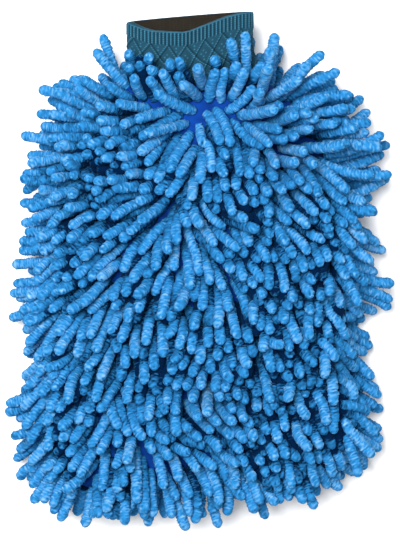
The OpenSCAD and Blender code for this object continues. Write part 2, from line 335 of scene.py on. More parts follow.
@dataclass
class BagShape:
    """The sewn bag, as the CAD part draws it, with the slight skew that its tip has settled into."""

    width: float = 160 * MM
    shoulder_width: float = 147 * MM
    length: float = 218 * MM
    height: float = 24 * MM
    shoulder: float = 62 * MM
    tip_round: float = 40 * MM
    corner: float = 26 * MM
    cuff_width: float = 69 * MM
    cuff_inset: float = 3 * MM
    mouth_half_width: float = 38.25 * MM
    mouth_half_height: float = 11.41 * MM
    fold: float = 84 * MM  # from the mouth to the knuckle fold
    section_power: float = 2.3
    shoulder_power: float = 1.6
    tip_skew: float = 0.1  # the tip runs this much lower on the left for its distance from the middle
    mouth_y: float = field(init=False)
    mid_z: float = field(init=False)

    def __post_init__(self) -> None:
        """Takes the mouth's place along Y and the middle plane's height from the CAD parts."""
        self.mouth_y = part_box("cuff_knit")[0][1] + self.cuff_inset
        self.mid_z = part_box("front_cloth_palm")[0][2]

    @property
    def fold_y(self) -> float:
        """Where the knuckle fold is, along Y in the row frame."""
        return self.mouth_y - self.fold

    @property
    def tip_y(self) -> float:
        """Where the tip is, along Y from the mouth."""
        return -self.length

    def half_width(self, y: np.ndarray, inset: float = 0.0) -> np.ndarray:
        """Half the bag's width.

        Args:
            y: distance along Y from the mouth, negative towards the tip.
            inset: how far the whole outline is moved in.

        Returns:
            The half width at each y.
        """
        y = np.asarray(y, float)
        corner_y = self.tip_y + self.corner
        shoulder_y = -self.cuff_inset - self.shoulder
        r = self.corner - inset
        along = np.clip((y - corner_y) / (shoulder_y - corner_y), 0, 1)
        body = mix(self.width / 2, self.shoulder_width / 2, along)
        low = self.width / 2 - self.corner + np.sqrt(np.maximum(0, r * r - (corner_y - y) ** 2))
        t = np.clip((y - shoulder_y) / (self.shoulder - inset), 0, 1)
        slope = np.maximum(0, 1 - t**self.shoulder_power) ** (1 / self.shoulder_power)
        high = self.mouth_half_width - inset + (self.shoulder_width / 2 - self.mouth_half_width) * slope
        return np.where(y < corner_y, low, np.where(y < shoulder_y, body - inset, high))

    def half_height(self, y: np.ndarray, inset: float = 0.0, drop: float = 0.0) -> np.ndarray:
        """Half the bag's height at the crown.

        Args:
            y: distance along Y from the mouth.
            inset: how far the tip is moved in.
            drop: how much is taken off the crown.

        Returns:
            The half height at each y.
        """
        y = np.asarray(y, float)
        close_y = self.tip_y + self.tip_round
        shoulder_y = -self.cuff_inset - self.shoulder
        crown = mix(self.height / 2, self.mouth_half_height, smooth((y - shoulder_y) / self.shoulder)) - drop
        closing = np.clip((close_y - y) / (self.tip_round - inset), 0, 1)
        return crown * np.sqrt(1 - closing**2)

    def ring(self, y: np.ndarray, angle: np.ndarray, inset: float = 0.0, drop: float = 0.0) -> np.ndarray:
        """Points of the bag's surface, before the skew.

        Args:
            y: distance along Y from the mouth.
            angle: the angle round the cross-section, 0 at the right, in radians.
            inset: how far the outline is moved in.
            drop: how much is taken off the crown.

        Returns:
            A point for each pair of y and angle, in the row frame.
        """
        y, angle = np.broadcast_arrays(np.asarray(y, float), angle)
        power = 2 / self.section_power
        c, s = np.cos(angle), np.sin(angle)
        x = np.sign(c) * np.abs(c) ** power * self.half_width(y, inset)
        z = np.sign(s) * np.abs(s) ** power * self.half_height(y, inset, drop)
        return np.stack([x, y + self.mouth_y, z + self.mid_z], axis=-1)

    def normal(self, y: np.ndarray, angle: np.ndarray) -> np.ndarray:
        """The outward normal of the bag's surface at each pair of y and angle."""
        da, dy = 0.01, 0.05 * MM
        across = self.ring(y, angle + da) - self.ring(y, angle - da)
        along = self.ring(y + dy, angle) - self.ring(y - dy, angle)
        return unit(np.cross(along, across))

    def skew(self, x: np.ndarray, y: np.ndarray) -> np.ndarray:
        """How far the skewed tip moves a place along Y: more and more from the fold to the tip."""
        share = np.clip((self.fold_y - y) / (self.length - self.fold), 0, 1.1)
        return self.tip_skew * x * share**1.3

    def skewed(self, points: np.ndarray) -> np.ndarray:
        """Moves points with the bag as its tip is skewed."""
        out = points.copy()
        out[..., 1] += self.skew(points[..., 0], points[..., 1])
        return out

    def rise(self, x: np.ndarray, y: np.ndarray, cuff: "CuffShape") -> np.ndarray:
        """How far the bag or the cuff stands above the middle plane at a place, and 0 beside them."""
        own = y - self.mouth_y - self.skew(x, y)
        wide = np.maximum(self.half_width(own), 1e-6)
        inside = np.clip(1 - (np.abs(x) / wide) ** self.section_power, 0, 1)
        bag = self.half_height(own) * inside ** (1 / self.section_power)
        bag = np.where((own > self.tip_y) & (own < 0), bag, 0)
        off = np.abs(x - cuff.shift(own)) / (cuff.width / 2)
        knit = cuff.half_height(own) * np.sqrt(np.clip(1 - off**2, 0, 1))
        return np.where((own >= 0) & (own < cuff.length), knit, bag)

    def blend_at_fold(self, piece: bpy.types.Object, reach: float = 16 * MM) -> None:
        """Bakes a piece's placement into its mesh, and leaves it unbent at the fold."""
        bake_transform(piece)


@dataclass
class CuffShape:
    """The knitted cuff as it stands open, wider than high, its rim pulled a little to the left."""

    width: float = 69 * MM
    neck_height: float = 15 * MM
    rim_height: float = 20 * MM
    inset: float = 3 * MM
    length: float = 38 * MM
    rim_drop: float = 2.3 * MM  # how far the knit's own weight draws its rim back
    rear_rise: float = 0.9 * MM
    side_shift: float = -5 * MM
    tilt: float = 0.083  # the rim rises to the right by this much for its width
    # How far the front of the rim sags, from its left end (0) to its right end (1): deepest at a soft kink.
    sag_at: tuple[float, ...] = (0, 0.04, 0.125, 0.2, 0.32, 0.44, 0.5, 0.6, 0.8, 0.92, 1)
    sag: tuple[float, ...] = (0, 1.6, 4.3, 6.0, 7.2, 8.2, 7.7, 5.7, 1.6, 0.3, 0)  # in millimetres
    # Soft folds down the front: the place across it, then the depth and the width in millimetres.
    creases: tuple[tuple[float, float, float], ...] = ((0.53, 1.5, 3.0), (0.1, 1.2, 4.0))

    def half_height(self, v: np.ndarray) -> np.ndarray:
        """Half the cuff's height at a distance v along Y from the bag's mouth."""
        up = smooth((v + self.inset) / (self.length + self.inset))
        return mix(self.neck_height, self.rim_height, up) / 2

    def shift(self, v: np.ndarray) -> np.ndarray:
        """How far the cuff's middle is pulled sideways at v."""
        return self.side_shift * smooth(v / (0.6 * self.length))

    def place(self, bag: BagShape, v: np.ndarray, angle: np.ndarray, depth: np.ndarray) -> np.ndarray:
        """Points of the knit.

        Args:
            bag: the bag that the cuff is sewn to.
            v: distance along Y from the bag's mouth, to length at the middle of the rim.
            angle: the angle round the cuff, 0 at the right, in radians.
            depth: how far under the cuff's outer skin.

        Returns:
            A point for each set of values, in the row frame.
        """
        v, angle, depth = np.broadcast_arrays(v, angle, depth)
        t = np.clip(v / self.length, 0, 1)
        c, s = np.cos(angle), np.sin(angle)
        share = (c + 1) / 2
        front = np.interp(share, self.sag_at, self.sag) * MM * np.clip(s * 6, 0, 1)
        rear = self.rear_rise * np.clip(-s, 0, 1)
        x = (self.width / 2 - depth) * c
        y = bag.mouth_y + v + (rear - front) * smooth(t * 1.8) + x * self.tilt * t**1.5 - self.rim_drop * t
        z = bag.mid_z + (self.half_height(v) - depth) * s
        for place, deep, wide in self.creases:
            fold = np.exp(-(((share - place) * self.width / (wide * MM)) ** 2))
            z = z - deep * MM * fold * np.clip(s * 2, 0, 1) * mix(0.4, 1.0, t)
        return np.stack([x + self.shift(v), y, z], axis=-1)


# ---- the pile ----------------------------------------------------------------------------


@dataclass(frozen=True)
class Tuft:
    """How the pile lies round one place: heading in degrees anticlockwise from +X, place in millimetres."""

    x: float
    y: float
    heading: float


@dataclass(frozen=True)
class Whorl:
    """A place where the noodles stand on end, out to a radius. All in millimetres."""

    x: float
    y: float
    radius: float


@dataclass(frozen=True)
class Parting:
    """A line in the pile where it parts and shows the cloth. All in millimetres."""

    x1: float
    y1: float
    x2: float
    y2: float
    half_width: float


# The CAD rows of noodles: how many each half has, how near the fold they come, and the bend they allow for.
CAD_PALM_ROWS, CAD_FINGERS_ROWS = 7, 13
CAD_ROW_MARGIN = 4 * MM
BEND_LIMIT = 40  # degrees
# The front pile parts from the middle of the mouth down to the palm, and fans out from there.
FRONT_LAY = [
    Tuft(-45, 118, 100), Tuft(-58, 112, 128), Tuft(-74, 100, 168), Tuft(-35, 108, 97), Tuft(-24, 104, 102),
    Tuft(-14, 104, 130), Tuft(-3, 102, 138), Tuft(6, 104, 60), Tuft(15, 98, 88), Tuft(-70, 88, 168),
    Tuft(-44, 91, 162), Tuft(-38, 82, 196), Tuft(-28, 74, 205), Tuft(-14, 78, 215), Tuft(-8, 64, 248),
    Tuft(0, 55, 268), Tuft(-78, 74, 180), Tuft(-82, 62, 172), Tuft(-86, 50, 168), Tuft(-28, 55, 188),
    Tuft(-28, 45, 184), Tuft(-60, 44, 200), Tuft(-84, 34, 206), Tuft(-70, 20, 218), Tuft(-44, 22, 212),
    Tuft(-34, 10, 224), Tuft(-20, 12, 246), Tuft(-8, 4, 268), Tuft(2, 6, 284), Tuft(-92, 4, 212),
    Tuft(-62, -6, 222), Tuft(14, 112, 112), Tuft(24, 112, 102), Tuft(31, 116, 88), Tuft(38, 122, 80),
    Tuft(45, 112, 58), Tuft(50, 102, 42), Tuft(64, 110, 32), Tuft(62, 97, 9), Tuft(48, 88, 3),
    Tuft(80, 90, 12), Tuft(78, 74, 13), Tuft(80, 60, 16), Tuft(86, 46, 25), Tuft(94, 30, 4),
    Tuft(90, 8, 326), Tuft(9, 80, 284), Tuft(18, 70, 275), Tuft(20, 46, 294), Tuft(25, 34, 302),
    Tuft(12, 34, 352), Tuft(13, 20, 326), Tuft(40, 44, 320), Tuft(52, 44, 318), Tuft(66, 50, 306),
    Tuft(44, 30, 330), Tuft(60, 30, 296), Tuft(76, 26, 292), Tuft(20, 4, 310), Tuft(32, 14, 294),
    Tuft(46, 8, 280), Tuft(62, 10, 274), Tuft(76, 2, 290), Tuft(-94, -18, 214), Tuft(-92, -36, 224),
    Tuft(-94, -54, 206), Tuft(-70, -22, 234), Tuft(-60, -38, 232), Tuft(-48, -50, 234), Tuft(-40, -24, 248),
    Tuft(-30, -8, 236), Tuft(-20, -14, 262), Tuft(-32, -36, 278), Tuft(-15, -47, 236), Tuft(-9, -22, 276),
    Tuft(1, -14, 274), Tuft(-35, -62, 260), Tuft(-24, -66, 266), Tuft(-70, -62, 236), Tuft(-80, -76, 230),
    Tuft(-92, -86, 214), Tuft(-94, -102, 212), Tuft(-60, -86, 236), Tuft(-74, -102, 232), Tuft(-58, -106, 246),
    Tuft(-49, -112, 276), Tuft(-38, -104, 262), Tuft(-28, -112, 266), Tuft(-18, -114, 272), Tuft(-8, -112, 284),
    Tuft(6, -112, 258), Tuft(-70, -122, 240), Tuft(-48, -130, 256), Tuft(-20, -132, 268), Tuft(8, -128, 270),
    Tuft(-18, -80, 330), Tuft(-4, -88, 352), Tuft(22, -12, 270), Tuft(31, -30, 298), Tuft(46, -20, 284),
    Tuft(56, -36, 308), Tuft(60, -14, 266), Tuft(62, -46, 238), Tuft(80, -20, 300), Tuft(92, -26, 316),
    Tuft(95, -44, 320), Tuft(40, -60, 270), Tuft(56, -74, 298), Tuft(66, -60, 252), Tuft(76, -66, 276),
    Tuft(86, -60, 302), Tuft(96, -72, 320), Tuft(30, -46, 290), Tuft(15, -86, 312), Tuft(30, -98, 302),
    Tuft(42, -94, 290), Tuft(56, -95, 280), Tuft(66, -86, 270), Tuft(76, -92, 282), Tuft(92, -88, 316),
    Tuft(90, -104, 310), Tuft(25, -114, 290), Tuft(40, -110, 300), Tuft(58, -112, 298), Tuft(76, -112, 310),
    Tuft(30, -126, 286),
]  # fmt: skip
FRONT_WHORLS = [Whorl(37, 66, 15), Whorl(32, 84, 8), Whorl(8, -56, 17), Whorl(-48, 56, 9)]
PARTINGS = [
    Parting(3, 90, 5, 54, 0.3), Parting(34, 96, 44, 106, 1.2), Parting(-26, -90, 20, -95, 0.0),
]  # fmt: skip
# The back pile has been pressed outwards by the mitt's own weight.
BACK_LAY = [
    Tuft(0, 112, 92), Tuft(-36, 110, 112), Tuft(38, 108, 70), Tuft(-60, 92, 146), Tuft(64, 92, 30),
    Tuft(-82, 60, 172), Tuft(86, 60, 10), Tuft(-30, 60, 150), Tuft(28, 64, 40), Tuft(-90, 10, 186),
    Tuft(92, 8, 350), Tuft(-50, 10, 205), Tuft(46, 6, 325), Tuft(0, 30, 262), Tuft(-8, -20, 258),
    Tuft(14, -50, 280), Tuft(-60, -50, 222), Tuft(62, -46, 318), Tuft(-92, -60, 200), Tuft(96, -60, 336),
    Tuft(-30, -90, 250), Tuft(34, -88, 292), Tuft(-86, -110, 218), Tuft(88, -104, 322), Tuft(0, -124, 270),
    Tuft(-50, -124, 250), Tuft(48, -122, 292),
]  # fmt: skip
BACK_WHORLS = [Whorl(-20, 84, 10), Whorl(30, 26, 12), Whorl(-24, -48, 12)]


def close_pairs(points: np.ndarray, reach: float) -> tuple[np.ndarray, np.ndarray]:
    """Finds the points that lie near each other.

    Args:
        points: the points, one row each.
        reach: the distance within which every pair is found.

    Returns:
        Two arrays of indices, one entry for each pair.
    """
    cell = np.floor((points - points.min(axis=0)) / reach).astype(np.int64) + 1
    key = (cell[:, 0] * 4096 + cell[:, 1]) * 4096 + cell[:, 2]
    order = np.argsort(key, kind="stable")
    ordered = key[order]
    every = np.arange(len(points))
    first, second = [], []
    for dx, dy, dz in [(a, b, c) for a in (0, 1) for b in (-1, 0, 1) for c in (-1, 0, 1)]:
        if (dx, dy, dz) < (0, 0, 0):
            continue
        goal = key + (dx * 4096 + dy) * 4096 + dz
        low = np.searchsorted(ordered, goal, "left")
        count = np.searchsorted(ordered, goal, "right") - low
        i = np.repeat(every, count)
        steps = np.arange(len(i)) - np.repeat(np.cumsum(count) - count, count)
        j = order[np.repeat(low, count) + steps]
        keep = i < j if (dx, dy, dz) == (0, 0, 0) else np.ones(len(i), bool)
        i, j = i[keep], j[keep]
        near = ((points[i] - points[j]) ** 2).sum(axis=1) < reach * reach
        first.append(i[near])
        second.append(j[near])
    return np.concatenate(first), np.concatenate(second)


@dataclass
class Pile:
    """The chenille noodles of both faces, rooted in the ground cloth, combed and settled together."""

    bag: BagShape
    cuff: CuffShape
    thickness: float = 5.8 * MM
    length: float = 32 * MM
    line_step: float = 6.8 * MM  # between lines of stitching, along the cloth, closer near the mouth
    line_pitch: float = 7.6 * MM  # between the noodles on one line
    mouth_pitch: float = 5.9 * MM  # between them on the lines near the mouth, which hide the seam
    closing: float = 0.14  # how much closer the lines run near the mouth, and how much wider near the tip
    tip_margin: float = 4 * MM  # from the tip to the first line
    mouth_margin: float = 3.6 * MM  # from the last line to the mouth
    scatter_across: float = 1.3 * MM  # how far each root strays from its place on the line
    scatter_along: float = 1.2 * MM  # and off it
    root_girth: float = 0.78  # a noodle is pinched to this where the stitch holds it
    pinch: float = 4 * MM  # how far up the pinch reaches
    tuft_relief: float = 0.068  # how unevenly the tufts stand out, as a share of the noodle's radius
    pile_shade_reach: float = 9 * MM  # noodles within this shut a noodle away
    joints: int = 8  # stretches that each noodle bends in
    around: int = 12  # points round each noodle
    body_rings: int = 38  # rings along it, without its round end
    seed: int = 20
    roots: np.ndarray = field(init=False)
    lengths: np.ndarray = field(init=False)
    sides: np.ndarray = field(init=False)
    rows: list[str] = field(init=False)
    normals: np.ndarray = field(init=False)
    strands: np.ndarray = field(init=False)
    painted_pile_shade: np.ndarray = field(init=False)

    def stitch(self) -> None:
        """Places the roots in lines along the cloth, and notes which CAD row each noodle belongs to."""
        rng = np.random.default_rng(self.seed)
        bag = self.bag
        fold = -bag.fold
        crown_y = np.linspace(bag.tip_y, 0, 1500)
        crown = np.stack([crown_y, bag.half_height(crown_y)], axis=-1)
        run = distance_along(crown)
        at_fold = np.interp(fold, crown_y, run)
        # The CAD rows keep clear of the fold, and share out what is left of each half evenly.
        first = CAD_ROW_MARGIN + bag.height / 2 * math.tan(math.radians(BEND_LIMIT / 2))
        bands = {
            "palm": (CAD_PALM_ROWS, run[-1] - at_fold - 4.6 * MM - first),
            "fingers": (CAD_FINGERS_ROWS, at_fold - 3.6 * MM - first),
        }
        roots, normals, sides, rows = [], [], [], []
        count = round((run[-1] - 4.2 * MM) / self.line_step)
        u = np.linspace(0, 1, count)
        sewn = run[-1] - self.tip_margin - self.mouth_margin
        lines = self.tip_margin + sewn * ((1 + self.closing) * u - self.closing * u**2)
        for side in Side:
            for number, s in enumerate(lines):
                y = float(np.interp(s, run, crown_y))
                half = "palm" if y > fold else "fingers"
                rows_here, long = bands[half]
                share = (abs(s - at_fold) - first) / long
                k = 1 + int(np.clip(round(share * (rows_here - 1)), 0, rows_here - 1))
                angle = np.linspace(np.pi / 2, 0, 400)
                across = bag.ring(y, angle)
                arc = distance_along(across)
                reach = arc[-1] - 1.5 * MM
                offset = (number % 2) / 2
                pitch = mix(self.line_pitch, self.mouth_pitch, smooth((y + 75 * MM) / (40 * MM)))
                per = int(reach / pitch - offset + 0.35)
                marks = (np.arange(per + 1) + offset) * reach / (per + offset)
                marks = np.concatenate([-marks[::-1], marks if offset else marks[1:]])
                loose = np.abs(marks) < reach - 3 * MM
                marks = marks + rng.uniform(-1, 1, len(marks)) * self.scatter_across * loose
                a = np.interp(np.abs(marks), arc, angle)
                a = np.where(marks < 0, np.pi - a, a)
                if side is Side.BACK:
                    a = -a
                ys = y + rng.uniform(-1, 1, len(marks)) * self.scatter_along
                ys = np.clip(ys, bag.tip_y + 0.6 * MM, -2 * MM)
                roots.append(bag.ring(ys, a))
                normals.append(bag.normal(ys, a))
                sides.append(np.full(len(marks), side.value))
                rows += [f"{side.name.lower()}_noodle_row_{half}_{k}"] * len(marks)
        self.roots = bag.skewed(np.concatenate(roots))
        self.normals = np.concatenate(normals)
        self.sides = np.concatenate(sides)
        keep = (self.from_partings(self.roots[:, :2])[1] >= 0) | (self.sides < 0)
        self.roots, self.normals, self.sides = self.roots[keep], self.normals[keep], self.sides[keep]
        self.rows = [name for name, kept in zip(rows, keep) if kept]
        self.cut(rng)
        log.info("pile: %d noodles rooted", len(self.rows))

    def cut(self, rng: np.random.Generator) -> None:
        """Gives each noodle its length.

        Args:
            rng: where the small differences come from.
        """
        self.lengths = self.length * (1 + rng.uniform(-0.18, 0.1, len(self.rows)))
        # Those round the tip are cut shorter, most of all at its corners. So are those at the mouth,
        # left of its middle, and those on the left edge of the palm. The right edge's are longer.
        x, y = self.roots[:, 0], self.roots[:, 1] - self.bag.mouth_y
        tip = np.clip(-self.normals[:, 1], 0, 1)
        self.lengths *= 1 - tip * (0.2 + 0.22 * smooth((np.abs(x) - 20 * MM) / (30 * MM)))
        self.lengths *= 1 - 0.25 * smooth((y + 20 * MM) / (8 * MM)) * ((x > -38 * MM) & (x < 18 * MM))
        self.lengths *= 1 - 0.2 * smooth((-x - 45 * MM) / (15 * MM)) * smooth((y + 115 * MM) / (20 * MM))
        self.lengths *= 1 + 0.06 * np.clip(self.normals[:, 0], 0, 1) * (1 - tip)

    def heading(self, places: np.ndarray, sides: np.ndarray) -> np.ndarray:
        """The way the pile is combed at each place, as unit vectors in X and Y."""
        out = np.zeros_like(places)
        for side, lay in ((Side.FRONT, FRONT_LAY), (Side.BACK, BACK_LAY)):
            here = sides == side.value
            centres = np.array([(t.x, t.y) for t in lay]) * MM
            ways = np.radians([t.heading for t in lay])
            ways = np.stack([np.cos(ways), np.sin(ways)], axis=-1)
            away = ((places[here][:, None, :] - centres[None]) ** 2).sum(axis=-1)
            weight = 1 / (away + (5 * MM) ** 2) ** 2
            out[here] = unit(weight @ ways)
        return out

    @staticmethod
    def from_partings(places: np.ndarray) -> tuple[np.ndarray, np.ndarray]:
        """The way out of the nearest parting, and how far outside its edge each place is."""
        best = np.full(len(places), 1.0)
        way = np.zeros_like(places)
        for part in PARTINGS:
            a = np.array([part.x1, part.y1]) * MM
            run = np.array([part.x2, part.y2]) * MM - a
            t = np.clip((places - a) @ run / (run @ run), 0, 1)
            off = places - a - t[:, None] * run
            far = np.linalg.norm(off, axis=1) - part.half_width * MM
            nearer = far < best
            best = np.where(nearer, far, best)
            way = np.where(nearer[:, None], unit(off), way)
        return way, best

    def standing(self, places: np.ndarray, sides: np.ndarray) -> np.ndarray:
        """How far the noodles rooted at each place stand on end, from 0 to 1."""
        out = np.zeros(len(places))
        for side, whorls in ((Side.FRONT, FRONT_WHORLS), (Side.BACK, BACK_WHORLS)):
            for whorl in whorls:
                off = places - np.array([whorl.x, whorl.y]) * MM
                away = np.hypot(off[:, 0], off[:, 1]) / (whorl.radius * MM)
                out = np.where(sides == side.value, np.maximum(out, smooth(1.6 - away)), out)
        return out

    @staticmethod
    def neighbours(points: np.ndarray, reach: float) -> tuple[np.ndarray, np.ndarray]:
        """Finds the points of different noodles that lie near each other.

        Args:
            points: the points of each noodle.
            reach: the distance within which every pair is found.

        Returns:
            Two arrays of indices into the points as one run, one entry for each pair.
        """
        owner = np.repeat(np.arange(len(points)), points.shape[1])
        i, j = close_pairs(points.reshape(-1, 3), reach)
        other = owner[i] != owner[j]
        return i[other], j[other]

    def settle(self, rounds: int) -> None:
        """Combs the noodles from straight and lets them push each other apart.

        Args:
            rounds: how many times every noodle is moved. More is slower and leaves fewer overlaps.
        """
        rng = np.random.default_rng(self.seed + 1)
        n, bends = len(self.rows), self.joints
        step = (self.lengths / bends)[:, None]
        side = self.sides.astype(float)
        stand = self.standing(self.roots[:, :2], self.sides)
        # A noodle near the edge has the seam beside it and leans out flatter than one on the crown.
        edge = np.clip(1 - np.abs(self.normals[:, 2]), 0, 1)
        lift = np.radians(rng.normal(19, 10, n) * (1 - 0.75 * edge)) * (1 - stand) + np.radians(66) * stand
        # Next to the mouth the cuff behind them props the noodles up.
        x, y = self.roots[:, 0], self.roots[:, 1] - self.bag.mouth_y
        behind = smooth((y + 17 * MM) / (6 * MM)) * smooth((42 * MM - np.abs(x)) / (12 * MM))
        lift = lift + np.radians(13) * behind
        droop = np.radians(rng.uniform(8, 28, n)) * (1 - stand)
        turn = np.radians(rng.normal(0, 13, n))
        curl = np.radians(rng.normal(0, 22, n))
        # Noodles rooted near the edge hang over it, down to the surface that the mitt lies on.
        hang = edge * np.radians(30) + np.radians(22) * np.clip(-self.normals[:, 1], 0, 1)
        share = np.arange(1, bends + 1) / bends

        def goal(points: np.ndarray) -> np.ndarray:
            """The direction that each stretch of each noodle wants, from where it is."""
            place = points[:, :-1, :2].reshape(-1, 2)
            way = self.heading(place, np.repeat(self.sides, bends)).reshape(n, bends, 2)
            bent = turn[:, None] + curl[:, None] * share[None]
            c, s = np.cos(bent), np.sin(bent)
            way = np.stack([way[..., 0] * c - way[..., 1] * s, way[..., 0] * s + way[..., 1] * c], axis=-1)
            rise = lift[:, None] + droop[:, None] * (0.75 - 1.5 * share[None])
            rise = rise - np.where(side > 0, hang, 0)[:, None] * share[None]
            return np.concatenate(
                [way * np.cos(rise)[..., None], (side[:, None] * np.sin(rise))[..., None]], axis=-1
            )

        points = np.repeat(self.roots[:, None, :], bends + 1, axis=1)
        for _ in range(3):
            aim = goal(points)
            points[:, 1:] = points[:, :1] + np.cumsum(aim * step[..., None], axis=1)
        radius = self.thickness / 2
        spread = 2 * radius * 0.94
        for turn_number in range(rounds):
            if turn_number % 10 == 0:
                aim = goal(points)
            along = np.diff(points, axis=1)
            pull = 0.10 if turn_number < rounds * 0.7 else 0.03
            along = unit(mix(unit(along), aim, pull))
            # Each stretch also follows the one before it a little, which keeps the bends soft.
            along[:, 1:] = unit(along[:, 1:] + 0.25 * along[:, :-1])
            points[:, 1:] = points[:, :1] + np.cumsum(along * step[..., None], axis=1)
            flat_points = points.reshape(-1, 3)
            if turn_number % 3 == 0:
                i, j = self.neighbours(points, spread * 1.25)
            gap = flat_points[i] - flat_points[j]
            far = np.linalg.norm(gap, axis=1)
            push = np.clip(spread - far, 0, None) * 0.5
            move = gap / np.maximum(far, 1e-9)[:, None] * push[:, None]
            shift = np.zeros_like(flat_points)
            hits = np.bincount(i, push > 0, len(shift)) + np.bincount(j, push > 0, len(shift))
            for axis in range(3):
                shift[:, axis] = np.bincount(i, move[:, axis], len(shift))
                shift[:, axis] -= np.bincount(j, move[:, axis], len(shift))
            flat_points += shift / np.maximum(hits, 1)[:, None] * 1.5
            self.keep_clear(points, radius)
            self.part(points, radius)
        self.strands = points
        self.painted_pile_shade = self.depth_in_pile(points)
        log.info("pile: settled in %d rounds", rounds)

    def depth_in_pile(self, points: np.ndarray) -> np.ndarray:
        """How deep each point of each noodle lies among the others, from 0 in the open to 1, for the painted
        shade that darkens the pile's colour.
        """
        flat_points = points.reshape(-1, 3)
        i, j = self.neighbours(points, self.pile_shade_reach)
        step = flat_points[j] - flat_points[i]
        far = np.linalg.norm(step, axis=1)
        step = step / np.maximum(far, 1e-9)[:, None]
        near = np.clip(1 - far / self.pile_shade_reach, 0, 1)
        # The ways out are up, down and sideways away from the middle of the mitt.
        core = np.clip(flat_points[:, :2], [-50 * MM, -85 * MM], [50 * MM, 60 * MM])
        aside = unit(np.concatenate([flat_points[:, :2] - core, np.zeros((len(core), 1))], axis=1))
        within = self.bag.rise(flat_points[:, 0], flat_points[:, 1], self.cuff) > 0
        above = flat_points[:, 2] > self.bag.mid_z
        covers = []
        for way in (np.array([[0.0, 0.0, 1.0]]), np.array([[0.0, 0.0, -1.0]]), aside):
            way = np.broadcast_to(way, flat_points.shape)
            cover = np.bincount(i, near * np.clip((step * way[i]).sum(axis=1), 0, 1), len(flat_points))
            cover += np.bincount(j, near * np.clip(-(step * way[j]).sum(axis=1), 0, 1), len(flat_points))
            covers.append(cover)
        # The bag itself shuts off the way through it.
        for k, shut in enumerate((within & ~above, within & above, within)):
            covers[k] = np.where(shut, np.inf, covers[k])
        return smooth(np.min(covers, axis=0) / 2.2).reshape(points.shape[:2])

    def keep_clear(self, points: np.ndarray, radius: float) -> None:
        """Keeps the settling noodles off the bag, the cuff and the surface that the mitt lies on."""
        x, y, z = points[..., 0], points[..., 1], points[..., 2]
        rise = self.bag.rise(x, y, self.cuff)
        ease = np.minimum(np.arange(points.shape[1]) / 2, 1)[None, :]
        clear = self.bag.mid_z + self.sides[:, None] * (rise + 0.9 * radius * ease)
        pushed = np.where(self.sides[:, None] > 0, np.maximum(z, clear), np.minimum(z, clear))
        z[:, 1:] = np.where(rise > 0, pushed, z)[:, 1:]
        z[:, 1:] = np.maximum(z[:, 1:], 1.3 * radius)

    def part(self, points: np.ndarray, radius: float) -> None:
        """Pushes the settling front noodles out of the partings."""
        front = self.sides > 0
        places = points[front][:, 1:, :2]
        way, far = self.from_partings(places.reshape(-1, 2))
        push = np.clip(0.6 * radius - far, 0, radius) * 0.5
        points[front, 1:, :2] = places + (way * push[:, None]).reshape(places.shape)

    def mesh_row(self, name: str, members: np.ndarray) -> bpy.types.Object:
        """Makes one row of noodles as a mesh: tufted tubes with round ends.

        Args:
            name: the row's name.
            members: the indices of its noodles.

        Returns:
            The row's object.
        """
        rng = np.random.default_rng(self.seed + sum(map(ord, name)))
        around, body = self.around, self.body_rings
        r = self.thickness / 2
        m = len(members)
        strands = self.strands[members]
        long = self.lengths[members][:, None]
        cap = np.radians([22, 44, 64, 80])
        tip = 1.25 * r
        straight = np.linspace(0, 1, body)[None] * (long - tip)
        s = np.concatenate([straight, long - tip + tip * np.sin(cap)[None], long], axis=1)
        girth = np.concatenate([np.ones(body), np.cos(cap), [0.0]])
        girth = girth * mix(self.root_girth, 1.0, smooth(s / self.pinch)) * rng.uniform(0.93, 1.05, (m, 1))
        centre, ahead = self.curve(strands, s / long)
        # A frame that doesn't twist is carried along each noodle.
        side_way = unit(np.cross(ahead[:, 0], rng.normal(size=(m, 3))))
        frames = []
        for k in range(s.shape[1]):
            side_way = unit(side_way - (side_way * ahead[:, k]).sum(axis=-1, keepdims=True) * ahead[:, k])
            frames.append(side_way)
        u = np.stack(frames, axis=1)
        v = np.cross(ahead, u)
        theta = np.linspace(0, 2 * np.pi, around, endpoint=False)[None, None, :]
        theta = theta + (np.arange(s.shape[1]) % 2)[None, :, None] * np.pi / around
        # The cut pile stands in tufts: every second ring swells, and no two tufts are alike.
        tuft = rng.normal(0, self.tuft_relief, (m, s.shape[1], around))
        tuft = tuft + 0.036 * np.cos(np.arange(s.shape[1]) * np.pi)[None, :, None]
        tuft[:, -1] = 0
        wide = (r * girth)[..., None] * (1 + tuft)
        points = centre[:, :, None] + wide[..., None] * (
            np.cos(theta)[..., None] * u[:, :, None] + np.sin(theta)[..., None] * v[:, :, None]
        )
        rings = s.shape[1]
        block = rings * around
        quads = grid_faces(rings, around, True)
        faces = (quads[None] + (np.arange(m) * block)[:, None, None]).reshape(-1, 4)
        lid = np.arange(around)[::-1]
        lids = np.arange(m)[:, None] * block + lid[None]
        pale = np.repeat(rng.normal(0.5, 0.04, m)[:, None], rings, axis=1)
        # What is deep in the pile is painted darker: a painted shade where the other noodles shut the light
        # away.
        at = np.clip(s / long * self.joints, 0, self.joints - 1e-9)
        k = at.astype(int)
        deep = self.painted_pile_shade[members]
        each = np.arange(m)[:, None]
        pale = pale - 1.5 * mix(deep[each, k], deep[each, k + 1], at - k)
        # Tufts that stand out are painted paler, a painted highlight, and those that sink are painted darker, a
        # painted shade.
        tint = pale[..., None] + tuft * 1.8
        return make_mesh(name, points.reshape(-1, 3), [faces, lids], tint.reshape(-1))

